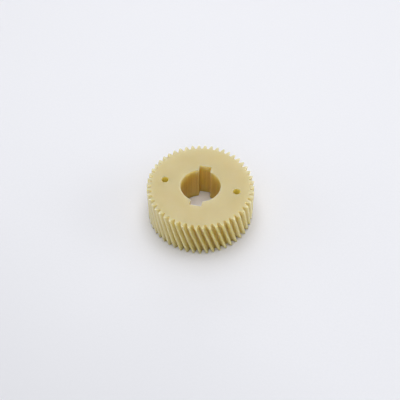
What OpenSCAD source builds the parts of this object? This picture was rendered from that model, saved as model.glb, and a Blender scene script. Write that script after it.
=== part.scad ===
// Left-hand helical gear, machined from one block of cast nylon.
// The gear lies on z = 0 with its axis on +Z. The two keyways face +Y and -Y,
// and the two tapped draw holes lie on the X axis.

/* [Teeth] */
// Number of teeth
teeth = 50; // [44:2:60]
// Normal module: the size of a tooth, measured square to its flank
normal_module = 1; // [0.9:0.05:1.2]
// Normal pressure angle in degrees
pressure_angle = 20; // [17.5:0.5:22.5]
// Helix angle at the pitch circle in degrees
helix_angle = 15; // [5:0.5:25]
// Which way the teeth lean when the gear stands on its face
hand = "left"; // [left, right]
// Angle from +X to the middle of a tooth on the top face, in degrees
tooth_phase = 3.1; // [0:0.1:8]
// Thinning of each tooth at the pitch circle, to give backlash in the mesh
backlash = 0.1; // [0:0.01:0.15]

/* [Body] */
// Width of the gear along its axis
face_w = 21; // [12:0.5:30]

/* [Bore] */
// Diameter of the shaft bore
bore_d = 20; // [14:0.5:22]
// Width of the bevel round each end of the bore
bore_bevel = 0.3; // [0.1:0.05:0.8]
// Width of each of the two keyways
key_w = 6; // [4:0.5:8]
// Depth of a keyway below the bore wall, on the keyway's centre line
key_depth = 2.8; // [1.8:0.1:3.3]

/* [Draw holes] */
// Diameter of the circle that the two draw holes lie on
hole_circle_d = 36.5; // [34:0.5:39]
// Tapping diameter of a draw hole
hole_d = 3.3; // [2.5:0.1:4.2]
// Width of the countersink at the mouth of a draw hole
hole_bevel = 0.35; // [0.1:0.05:0.5]

/* [Hidden] */
$fn = 96;

nylon = [0.86, 0.81, 0.66];

// Tooth proportions, in normal modules
addendum = 1;
dedendum = 1.25;
fillet = 0.25;

// The same tooth seen along the gear's axis
axial_module = normal_module / cos(helix_angle);
axial_pressure = atan(tan(pressure_angle) / cos(helix_angle));

pitch_r = teeth * axial_module / 2;
base_r = pitch_r * cos(axial_pressure);
tip_r = pitch_r + addendum * normal_module;
root_r = pitch_r - dedendum * normal_module;

// Half the angle that a tooth covers at the pitch circle
half_tooth = 90 / teeth - (backlash / 2 / cos(helix_angle)) / pitch_r * 180 / PI;
// Turn of the teeth over the face width, anticlockwise going up on a right-hand gear
face_turn = face_w * tan(helix_angle) / pitch_r * 180 / PI;
lean = hand == "left" ? -1 : 1;

flank_steps = 2;
twist_slices = 6;
overcut = 1;

// The involute function of an angle in degrees, as an angle in degrees
function involute(a) = tan(a) * 180 / PI - a;

// Half the angle that a tooth covers at radius r
function tooth_half(r) = half_tooth + involute(axial_pressure) - involute(acos(min(1, base_r / r)));

// Radius of a step up the flank, from the root circle to the tip circle
function flank_r(i) = root_r + (tip_r - root_r) * i / flank_steps;

function at_angle(r, a) = [r * cos(a), r * sin(a)];

// One tooth, from its leading root over the tip to its trailing root
function tooth_points(a) = [
    for (i = [0 : flank_steps]) at_angle(flank_r(i), a - tooth_half(flank_r(i))),
    for (i = [flank_steps : -1 : 0]) at_angle(flank_r(i), a + tooth_half(flank_r(i)))
];

// Section of the toothed wheel, with rounded roots
module tooth_section() {
    offset(r = -fillet * normal_module, $fn = 12)
        offset(delta = fillet * normal_module)
            polygon([for (k = [0 : teeth - 1]) each tooth_points(360 / teeth * k)]);
}

module toothed_blank() {
    rotate([0, 0, tooth_phase - lean * face_turn])
        linear_extrude(height = face_w, twist = -lean * face_turn, slices = twist_slices)
            tooth_section();
}

// Round hole right through the gear with a bevel at each end
module bevelled_hole(d, bevel) {
    translate([0, 0, -overcut])
        cylinder(d = d, h = face_w + 2 * overcut);
    for (end = [0, 1])
        translate([0, 0, end * face_w])
            cylinder(r1 = d / 2 + (1 - 2 * end) * bevel, r2 = d / 2 - (1 - 2 * end) * bevel,
                     h = 2 * bevel, center = true);
}

// Both keyways as one slot across the bore
module keyways() {
    slot = bore_d + 2 * key_depth;
    translate([-key_w / 2, -slot / 2, -overcut])
        cube([key_w, slot, face_w + 2 * overcut]);
}

module draw_holes() {
    for (side = [-1, 1])
        translate([side * hole_circle_d / 2, 0, 0])
            bevelled_hole(hole_d, hole_bevel);
}

module gear() {
    color(nylon)
        difference() {
            toothed_blank();
            bevelled_hole(bore_d, bore_bevel);
            keyways();
            draw_holes();
        }
}

gear();
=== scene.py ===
"""Looks of the cast nylon helical gear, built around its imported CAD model.

The gear's visible mesh is one closed solid: involute flanks with rounded roots,
broken edges, a bevelled bore with two keyways, and two tapped holes. Its sizes
are in millimetres, and its mesh is scaled to metres at the end. Materials,
floor, lights and camera are in metres.
"""

import math

import bpy
import numpy as np
from mathutils import Matrix, Vector
from mathutils.geometry import delaunay_2d_cdt


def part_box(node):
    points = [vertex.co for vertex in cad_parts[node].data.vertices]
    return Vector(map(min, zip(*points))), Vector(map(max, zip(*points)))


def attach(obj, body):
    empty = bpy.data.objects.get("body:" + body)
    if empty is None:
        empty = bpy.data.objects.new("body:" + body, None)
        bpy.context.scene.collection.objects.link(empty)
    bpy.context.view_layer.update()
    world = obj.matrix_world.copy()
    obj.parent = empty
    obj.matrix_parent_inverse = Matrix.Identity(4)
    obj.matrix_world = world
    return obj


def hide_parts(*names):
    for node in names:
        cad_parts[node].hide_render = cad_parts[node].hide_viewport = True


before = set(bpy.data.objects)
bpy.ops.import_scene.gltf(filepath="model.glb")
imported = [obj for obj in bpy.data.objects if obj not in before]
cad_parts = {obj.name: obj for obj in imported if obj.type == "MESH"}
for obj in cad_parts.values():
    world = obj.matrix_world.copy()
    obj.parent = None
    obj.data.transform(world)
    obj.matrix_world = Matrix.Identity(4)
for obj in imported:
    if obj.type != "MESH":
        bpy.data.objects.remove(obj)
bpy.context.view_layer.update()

MM = 0.001
TAU = 2 * math.pi

# --- Driving dimensions -----------------------------------------------------

gear_low, gear_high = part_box("gear")
FACE_W = (gear_high.z - gear_low.z) / MM

TEETH = 50
MODULE = 1.0                              # normal module
PRESSURE = math.radians(20)               # normal pressure angle
HELIX = math.radians(15)                  # at the pitch circle, left-hand
TOOTH_PHASE = math.radians(3.1)           # a tooth's middle from +X, on the top face
BACKLASH = 0.1
ROOT_FILLET = 0.25
TIP_BREAK = 0.07                          # bevel along both edges of a tooth's tip
END_BREAK = 0.12                          # bevel round the teeth at both faces

BORE_R = 10.0
BORE_BEVEL = 0.3
KEY_W = 6.0
KEY_DEPTH = 2.8
KEY_BREAK = 0.12

HOLE_X = 36.5 / 2
HOLE_R = 1.65                             # crest of the M4 thread
HOLE_MOUTH_R = 2.0
THREAD_PITCH = 0.7
THREAD_DEPTH = 0.25
# Half widths of the thread's groove in pitches, at its mouth and at its floor
GROOVE_MOUTH, GROOVE_FLOOR = 3 / 8, 1 / 16

# --- Tooth section ----------------------------------------------------------

AXIAL_MODULE = MODULE / math.cos(HELIX)
AXIAL_PRESSURE = math.atan(math.tan(PRESSURE) / math.cos(HELIX))
PITCH_R = TEETH * AXIAL_MODULE / 2
BASE_R = PITCH_R * math.cos(AXIAL_PRESSURE)
TIP_R = PITCH_R + MODULE
ROOT_R = PITCH_R - 1.25 * MODULE
TOOTH_STEP = TAU / TEETH
FACE_TURN = FACE_W * math.tan(HELIX) / PITCH_R


def involute(angle):
    return math.tan(angle) - angle


BACKLASH_HALF = BACKLASH / 2 / math.cos(HELIX) / PITCH_R
BASE_HALF = TOOTH_STEP / 4 - BACKLASH_HALF + involute(AXIAL_PRESSURE)


def polar(r, angle):
    return np.stack([r * np.cos(angle), r * np.sin(angle)], axis=-1)


def turned(points, angle):
    """Points in the plane, turned about the axis."""
    c, s = math.cos(angle), math.sin(angle)
    return points @ np.array([[c, s], [-s, c]])


def flank_points(radii):
    """Points of the trailing flank of a tooth centred on +X."""
    pressure = np.arccos(BASE_R / radii)
    return polar(radii, BASE_HALF - np.tan(pressure) + pressure)


def root_arc(steps):
    """The fillet from the root circle to the flank, and the radius where the flank starts.

    A line square to an involute touches its base circle, which gives the
    fillet's centre and its foot on the flank.
    """
    centre_r = ROOT_R + ROOT_FILLET
    reach = math.sqrt(centre_r**2 - BASE_R**2)
    start_r = math.hypot(BASE_R, reach - ROOT_FILLET)
    centre_angle = BASE_HALF - (reach - ROOT_FILLET) / BASE_R + math.atan(reach / BASE_R)
    centre = polar(centre_r, centre_angle)
    foot = flank_points(np.array([start_r]))[0] - centre
    first = centre_angle + math.pi
    last = math.atan2(foot[1], foot[0]) % TAU
    angles = np.linspace(first, last, steps, endpoint=False)
    return centre + polar(ROOT_FILLET, angles), start_r


def tooth_section(flank_steps=6, arc_steps=3, tip_steps=2):
    """Closed outline of the toothed wheel, anticlockwise from above."""
    arc, start_r = root_arc(arc_steps)
    flank = flank_points(np.linspace(start_r, TIP_R - TIP_BREAK, flank_steps + 1))
    corner = flank_points(np.array([TIP_R]))[0]
    land = math.atan2(corner[1], corner[0]) - TIP_BREAK / TIP_R
    tip = polar(TIP_R, land * np.linspace(1, 0, tip_steps, endpoint=False))
    half = np.concatenate([arc, flank, tip])
    rising = half * [1, -1]
    middle = [[TIP_R, 0.0]]
    gap = [polar(ROOT_R, TOOTH_STEP / 2)]
    tooth = np.concatenate([rising, middle, half[::-1], gap])
    return np.concatenate([turned(tooth, k * TOOTH_STEP) for k in range(TEETH)])


def inset(outline, distance):
    """A closed anticlockwise outline moved inwards, with mitred corners."""
    along = np.roll(outline, -1, axis=0) - outline
    along /= np.linalg.norm(along, axis=1, keepdims=True)
    after = np.stack([along[:, 1], -along[:, 0]], axis=1)
    before = np.roll(after, 1, axis=0)
    mitre = (after + before) / (1 + (after * before).sum(axis=1, keepdims=True))
    return outline - distance * mitre


def bore_section(r, grow, arc_steps=40):
    """Closed outline of the bore and keyways, anticlockwise.

    Every wall of a keyway is moved out by grow.
    """
    half_w = KEY_W / 2 + grow
    floor_y = BORE_R + KEY_DEPTH + grow
    corner = math.asin(half_w / r)
    arc = polar(r, np.linspace(corner - math.pi / 2, math.pi / 2 - corner, arc_steps + 1))
    top = [[half_w, floor_y], [0, floor_y], [-half_w, floor_y]]
    half = np.concatenate([arc, top])
    return np.concatenate([half, -half])


# --- Mesh of the gear -------------------------------------------------------

FACES, TEETH_SIDE, BORE, HOLES = range(4)  # finishes, in the order of the material slots
SHARP_ANGLE = math.radians(28)             # edges that turn more than this stay crisp


class Shell:
    """Vertices and faces of one closed mesh, gathered ring by ring."""

    def __init__(self):
        self.points = []
        self.faces = []
        self.finishes = []

    def ring(self, outline, z):
        """Adds a closed ring of points at height z (one height, or one for each point)."""
        first = len(self.points)
        heights = np.broadcast_to(z, len(outline))
        self.points += [(x, y, h) for (x, y), h in zip(outline, heights)]
        return range(first, len(self.points))

    def wall(self, rings, finish, outward=True):
        """Joins each ring to the next one up with quads."""
        for low, high in zip(rings, rings[1:]):
            count = len(low)
            for i in range(count):
                j = (i + 1) % count
                quad = (low[i], low[j], high[j], high[i])
                self.faces.append(quad if outward else quad[::-1])
                self.finishes.append(finish)

    def plate(self, border, holes, z, up):
        """Fills a flat face between its border ring and the rings of its holes."""
        rings = [border, *holes]
        own = [i for ring in rings for i in ring]
        flat = [Vector(self.points[i][:2]) for i in own]
        loops, first = [], 0
        for ring in rings:
            loops.append(list(range(first, first + len(ring))))
            first += len(ring)
        flat += filling_points()
        points, _, triangles, source, _, inside = delaunay_2d_cdt(flat, [], loops, 0, 1e-6)
        index = {}
        for i, point in enumerate(points):
            if source[i] and source[i][0] < len(own):
                index[i] = own[source[i][0]]
        for triangle, within in zip(triangles, inside):
            if list(within) != [0]:
                continue
            for i in triangle:
                if i not in index:
                    index[i] = len(self.points)
                    self.points.append((points[i].x, points[i].y, z))
            corners = [index[i] for i in triangle]
            self.faces.append(corners if up else corners[::-1])
            self.finishes.append(FACES)

    def build(self, name, materials):
        mesh = bpy.data.meshes.new(name)
        mesh.from_pydata([Vector(p) * MM for p in self.points], [], self.faces)
        for material in materials:
            mesh.materials.append(material)
        mesh.polygons.foreach_set("material_index", self.finishes)
        mesh.polygons.foreach_set("use_smooth", [True] * len(self.faces))
        mesh.set_sharp_from_angle(angle=SHARP_ANGLE)
        mesh.validate()
        piece = bpy.data.objects.new(name, mesh)
        bpy.context.scene.collection.objects.link(piece)
        return piece


def filling_points():
    """Points spread over a flat face on rings, denser towards the teeth, clear of its edges."""
    clearance = 0.5
    rings = [(ROOT_R - 0.45, 300), (ROOT_R - 1.3, 150), (ROOT_R - 3.0, 90), (BORE_R + 4.6, 60)]
    points = []
    for r, count in rings:
        for x, y in polar(r, np.arange(count) * TAU / count):
            if math.hypot(abs(x) - HOLE_X, y) > HOLE_MOUTH_R + clearance:
                points.append(Vector((x, y)))
    return points


def tooth_wall(shell, rows=16):
    section = tooth_section()
    ends = inset(section, END_BREAK)
    heights = [0, *np.linspace(END_BREAK, FACE_W - END_BREAK, rows + 1), FACE_W]
    rings = []
    for z in heights:
        outline = ends if z in (0, FACE_W) else section
        turn = TOOTH_PHASE + FACE_TURN * (1 - z / FACE_W)
        rings.append(shell.ring(turned(outline, turn), z))
    shell.wall(rings, TEETH_SIDE)
    return rings


def bore_wall(shell, rows=6):
    rest = BORE_BEVEL - KEY_BREAK
    mouth = [(0, BORE_R + BORE_BEVEL, KEY_BREAK), (KEY_BREAK, BORE_R + rest, 0)]
    levels = mouth + [(z, BORE_R, 0) for z in np.linspace(BORE_BEVEL, FACE_W - BORE_BEVEL, rows + 1)]
    levels += [(FACE_W - z, r, grow) for z, r, grow in mouth[::-1]]
    rings = [shell.ring(bore_section(r, grow), z) for z, r, grow in levels]
    shell.wall(rings[:3], FACES, outward=False)
    shell.wall(rings[2:-2], BORE, outward=False)
    shell.wall(rings[-3:], FACES, outward=False)
    return rings


def thread_radius(angle, z):
    """Wall of a tapped hole: the M4 thread, opened out to its mouth at each face."""
    along = (z / THREAD_PITCH - angle / TAU) % 1.0
    off_centre = np.abs(along - 0.5)
    groove = np.clip((GROOVE_MOUTH - off_centre) / (GROOVE_MOUTH - GROOVE_FLOOR), 0, 1)
    mouth = HOLE_MOUTH_R - min(z, FACE_W - z)
    return np.maximum(HOLE_R + THREAD_DEPTH * groove, mouth)


def tapped_hole(shell, x, sides=32, rows_a_turn=8):
    angles = np.arange(sides) * TAU / sides
    rows = round(FACE_W / THREAD_PITCH * rows_a_turn)
    rings = []
    for z in np.linspace(0, FACE_W, rows + 1):
        wall = polar(thread_radius(angles, z), angles) + [x, 0]
        rings.append(shell.ring(wall, z))
    cone_rows = round((HOLE_MOUTH_R - HOLE_R) / FACE_W * rows)
    shell.wall(rings[:cone_rows + 1], FACES, outward=False)
    shell.wall(rings[cone_rows:-cone_rows], HOLES, outward=False)
    shell.wall(rings[-cone_rows - 1:], FACES, outward=False)
    return rings


def gear_mesh(materials):
    shell = Shell()
    walls = [tooth_wall(shell), bore_wall(shell)]
    walls += [tapped_hole(shell, x) for x in (-HOLE_X, HOLE_X)]
    for end, z, up in ((0, 0, False), (-1, FACE_W, True)):
        border, *holes = [rings[end] for rings in walls]
        shell.plate(border, holes, z, up)
    return shell.build("nylon_gear", materials)


# --- Materials --------------------------------------------------------------


class Nodes:
    """Short ways to add and link shader nodes."""

    def __init__(self, name):
        self.material = bpy.data.materials.new(name)
        self.material.use_nodes = True
        self.tree = self.material.node_tree
        self.shader = self.tree.nodes["Principled BSDF"]

    def add(self, kind, values=(), **settings):
        """A node of that kind, with its inputs (a value, or a socket to link) and its settings."""
        node = self.tree.nodes.new("ShaderNode" + kind)
        for key, setting in settings.items():
            setattr(node, key, setting)
        for key, value in dict(values).items():
            if isinstance(value, bpy.types.NodeSocket):
                self.tree.links.new(value, node.inputs[key])
            else:
                node.inputs[key].default_value = value
        return node

    def math(self, operation, *values):
        return self.add("Math", enumerate(values), operation=operation).outputs[0]

    def blend(self, factor, first, second):
        values = {"Factor": factor, 6: first, 7: second}
        return self.add("Mix", values, data_type="RGBA").outputs[2]

    def noise(self, where, scale, detail=3.0, roughness=0.5):
        values = {"Vector": where, "Scale": scale, "Detail": detail, "Roughness": roughness}
        return self.add("TexNoise", values).outputs["Fac"]

    def spread(self, value, low, high, to_low=0.0, to_high=1.0):
        values = {"Value": value, "From Min": low, "From Max": high, "To Min": to_low, "To Max": to_high}
        return self.add("MapRange", values).outputs[0]

    def set(self, **values):
        """Values set on the shader's own sockets, by names with _ for spaces."""
        for key, value in values.items():
            self.shader.inputs[key.replace("_", " ")].default_value = value

    def drive(self, socket, output):
        self.tree.links.new(output, self.shader.inputs[socket])


# The nylon is one colour, the CREAM of its faces. GOLD, AMBER and HONEY are that colour with painted
# light in it: the deeper, warmer colour that light takes on as it bounces in the tooth gaps, the bore
# and the holes and passes through the nylon.
CREAM = (0.55, 0.46, 0.235)               # turned faces
GOLD = (0.56, 0.385, 0.055)               # teeth; deeper than the faces with painted light bounced between the teeth
AMBER = (0.72, 0.495, 0.09)               # bore; deeper with painted light bounced in it and passed through the nylon
KEYWAY_PAINTED_LIGHT = (0.86, 0.61, 0.1)              # keyways; painted lighter than the bore, lifting their shade
HONEY = (1.0, 0.84, 0.15)                 # tapped holes; painted glow of light passed through the nylon round them
PALE_FLECK_AND_GLOW = (0.665, 0.57, 0.12)                # random pale flecks, and painted light at thin tooth tips and at the bore's mouths

# How much of a colour is left, channel by channel, in its cloudy patches, the nylon's own mottle, and in
# its grooves, where it is painted shade
CLOUD_SHADE = (0.95, 0.93, 0.84)
GROOVE_PAINTED_SHADE = (0.6, 0.5, 0.35)

# How far light goes through the nylon, in metres, and the share that each channel gets
GLOW_DEPTH = 0.007
GLOW_RADIUS = (1.0, 0.6, 0.2)
NYLON_IOR = 1.53


def shaded(colour, shade):
    return (*[c * k for c, k in zip(colour, shade)], 1)


def nylon(name, body, marks, marks_depth, groove_painted_shade, roughness, outer, mouth=0.0, glow=1.0):
    """Cast nylon: slightly translucent, with the marks of the tool that cut it.

    marks is a function of the nodes, the place and the distance from the axis
    that gives a height from 0 to 1, and marks_depth is its depth in metres.
    The next argument is how far the low parts of the marks darken, which is
    painted shade in the grooves. outer is the colour that the surface turns to
    away from the axis, with the distances at which that starts and ends and how
    far it goes; it is painted light, paler at thin tooth tips and lighter in
    the keyways. mouth is how far the surface pales towards the two faces, which
    is painted light that comes in there, and glow is how much light goes
    through it.
    """
    n = Nodes(name)
    place = n.add("TexCoord").outputs["Object"]
    parts = n.add("SeparateXYZ", {0: place}).outputs
    radius = n.math("SQRT", n.math("ADD", n.math("MULTIPLY", parts[0], parts[0]),
                                   n.math("MULTIPLY", parts[1], parts[1])))

    cloud = n.noise(place, 90, detail=4)
    fleck = n.noise(place, 1400, detail=2)
    height = marks(n, place, parts, radius)
    mottled = n.blend(n.spread(cloud, 0.3, 0.7), (*body, 1), shaded(body, CLOUD_SHADE))
    # Painted shade: the low parts of the tool marks are coloured darker.
    grooved = n.blend(n.spread(height, 0.6, 0.35, 0.0, groove_painted_shade), mottled, shaded(body, GROOVE_PAINTED_SHADE))
    # Painted light: the colour turns paler out at thin tooth tips and lighter in the keyways.
    outer_colour, start_r, end_r, share = outer
    outwards = n.spread(radius, start_r * MM, end_r * MM, 0.0, share)
    toned = n.blend(outwards, grooved, (*outer_colour, 1))
    # Painted light: the bore pales towards both faces, where light comes in.
    from_middle = n.math("ABSOLUTE", n.math("SUBTRACT", parts[2], FACE_W / 2 * MM))
    near_face = n.spread(from_middle, FACE_W / 5 * MM, FACE_W / 2 * MM, 0.0, mouth)
    coloured = n.blend(near_face, toned, (*PALE_FLECK_AND_GLOW, 1))
    speckled = n.blend(n.spread(fleck, 0.55, 0.75, 0.0, 0.12), coloured, (*PALE_FLECK_AND_GLOW, 1))
    n.drive("Base Color", speckled)

    worn = n.noise(place, 260, detail=5, roughness=0.6)
    n.drive("Roughness", n.spread(worn, 0.3, 0.7, roughness - 0.06, roughness + 0.1))
    grain = n.add("Bump", {"Height": fleck, "Strength": 0.25, "Distance": 0.00002})
    cut = n.add("Bump", {"Height": height, "Strength": 1.0, "Distance": marks_depth,
                         "Normal": grain.outputs[0]})
    n.drive("Normal", cut.outputs[0])

    n.shader.subsurface_method = "RANDOM_WALK_SKIN"
    n.set(IOR=NYLON_IOR, Specular_IOR_Level=0.5, Subsurface_Weight=glow,
          Subsurface_Scale=GLOW_DEPTH, Subsurface_Radius=GLOW_RADIUS)
    return n.material


def wave(n, value, spacing):
    """A rounded ridge every spacing metres along value."""
    return n.math("MULTIPLY_ADD", n.math("SINE", n.math("MULTIPLY", value, TAU / spacing)), 0.5, 0.5)


def turning_marks(n, place, parts, radius):
    """Rings left by a facing cut, a little uneven."""
    drift = n.math("MULTIPLY", n.noise(place, 60), 0.0002)
    coarse = n.noise(n.add("CombineXYZ", {0: radius}).outputs[0], 2600, detail=4)
    return n.math("ADD", n.math("MULTIPLY", wave(n, n.math("ADD", radius, drift), 0.00022), 0.5),
                  n.math("MULTIPLY", coarse, 0.6))


def hobbing_marks(n, place, parts, radius):
    """Feed scallops across the teeth, with fine scuffs."""
    scuff = n.noise(place, 1900, detail=3)
    feed = n.math("MULTIPLY", wave(n, parts[2], 0.0008), 0.6)
    return n.math("ADD", feed, n.math("MULTIPLY", scuff, 0.4))


def boring_marks(n, place, parts, radius):
    """Long scores along the bore, deeper in the keyways, over faint rings."""
    stretched = n.add("Mapping", {"Vector": place, "Scale": (1, 1, 0.03)}).outputs[0]
    scores = n.noise(stretched, 1100, detail=3, roughness=0.65)
    strength = n.spread(radius, (BORE_R + 0.1) * MM, (BORE_R + 0.4) * MM, 0.4, 1.3)
    deep = n.math("MULTIPLY", n.math("SUBTRACT", scores, 0.5), strength)
    rings = n.math("MULTIPLY", wave(n, parts[2], 0.00025), 0.08)
    return n.math("ADD", n.math("ADD", deep, 0.5), rings)


def hole_marks(n, place, parts, radius):
    return n.noise(place, 1500, detail=2)


# Colour, start and end of the change in millimetres from the axis, and how far it goes.
# Painted light: thin tooth tips are painted paler than the body, for the light that comes through them.
painted_tip_glow = (PALE_FLECK_AND_GLOW, ROOT_R - 0.6, TIP_R, 0.5)
# Painted light: the keyways are painted lighter than the bore, against their shade.
painted_keyway_lift = (KEYWAY_PAINTED_LIGHT, BORE_R + 0.2, BORE_R + 1.0, 0.5)

gear = gear_mesh([
    nylon("nylon_turned", CREAM, turning_marks, 0.000012, 0.05, 0.42, painted_tip_glow),
    nylon("nylon_hobbed", GOLD, hobbing_marks, 0.00002, 0.08, 0.46, painted_tip_glow),
    nylon("nylon_bored", AMBER, boring_marks, 0.00003, 0.9, 0.48, painted_keyway_lift, mouth=0.4),
    nylon("nylon_tapped", HONEY, hole_marks, 0.00001, 0.1, 0.55, painted_tip_glow, glow=0.0),
])
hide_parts("gear")
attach(gear, "root")

# --- Floor, light and camera ------------------------------------------------

SOFT_BOX = 0.6                            # side of each light, in metres
LIGHT_DISTANCE = 0.8                      # from the gear, in metres
CAMERA_AZIMUTH, CAMERA_ELEVATION = 12.2, 52.0
CAMERA_DISTANCE = 0.3805                  # from its target, in metres
CAMERA_TARGET = (-0.00028, 0, 0.009)
CAMERA_LENS = 67.1

PAPER = (0.82, 0.825, 0.867)
PAPER_GRAIN = (0.805, 0.812, 0.853)
PAPER_SHADE = (0.715, 0.72, 0.755)
FLOOR_HALF = 4.0                          # metres
FLOOR_GAP = 0.00002                       # keeps the floor just under the gear, in metres


def floor():
    n = Nodes("paper")
    place = n.add("TexCoord").outputs["Object"]
    parts = n.add("SeparateXYZ", {0: place}).outputs
    # The paper lies in a little less light towards its front
    forward = n.math("ADD", n.math("MULTIPLY", parts[0], -0.31), n.math("MULTIPLY", parts[1], -0.95))
    shade = n.spread(forward, 0.05, 0.17)
    grain = n.spread(n.noise(place, 900, detail=2), 0.3, 0.7)
    clean = n.blend(grain, (*PAPER_GRAIN, 1), (*PAPER, 1))
    n.drive("Base Color", n.blend(shade, clean, (*PAPER_SHADE, 1)))
    n.set(Roughness=0.9, Specular_IOR_Level=0.1)
    mesh = bpy.data.meshes.new("studio_floor")
    corners = [(x * FLOOR_HALF, y * FLOOR_HALF, 0) for x, y in ((-1, -1), (1, -1), (1, 1), (-1, 1))]
    mesh.from_pydata(corners, [], [(0, 1, 2, 3)])
    mesh.materials.append(n.material)
    sheet = bpy.data.objects.new("studio_floor", mesh)
    sheet.location.z = gear_low.z - FLOOR_GAP
    bpy.context.scene.collection.objects.link(sheet)


def soft_light(name, azimuth, elevation, power):
    """A square white soft box aimed at the gear, placed by its angles in degrees."""
    data = bpy.data.lights.new(name, "AREA")
    data.size = SOFT_BOX
    data.energy = power
    lamp = bpy.data.objects.new(name, data)
    lamp.matrix_world = aimed(azimuth, elevation, LIGHT_DISTANCE, Vector((0, 0, 0)))
    bpy.context.scene.collection.objects.link(lamp)


def aimed(azimuth, elevation, distance, target):
    """Where something stands that looks at target. Azimuth 0 looks along +Y, and 90 along -X."""
    a, e = math.radians(azimuth), math.radians(elevation)
    back = Vector((math.sin(a) * math.cos(e), -math.cos(a) * math.cos(e), math.sin(e)))
    turn = back.to_track_quat("Z", "Y").to_matrix().to_4x4()
    return Matrix.Translation(target + back * distance) @ turn


def camera():
    data = bpy.data.cameras.new("camera")
    data.lens = CAMERA_LENS
    data.clip_start = 0.01
    eye = bpy.data.objects.new("camera", data)
    eye.matrix_world = aimed(CAMERA_AZIMUTH, CAMERA_ELEVATION, CAMERA_DISTANCE, Vector(CAMERA_TARGET))
    bpy.context.scene.collection.objects.link(eye)
    bpy.context.scene.camera = eye


def sky(strength, colour):
    world = bpy.data.worlds.new("sky")
    world.use_nodes = True
    background = world.node_tree.nodes["Background"]
    background.inputs["Color"].default_value = (*colour, 1)
    background.inputs["Strength"].default_value = strength
    bpy.context.scene.world = world


floor()
sky(0.217, (0.98, 0.985, 1.0))
soft_light("overhead", 12, 88, 2.1)
soft_light("behind", 192, 70, 2.3)
soft_light("behind_low", 192, 15, 1.57)
soft_light("right", 102, 15, 2.2)
soft_light("left", 282, 15, 1.26)
soft_light("front", 12, 45, 1.0)
camera()
bpy.context.scene.view_settings.view_transform = "Standard"
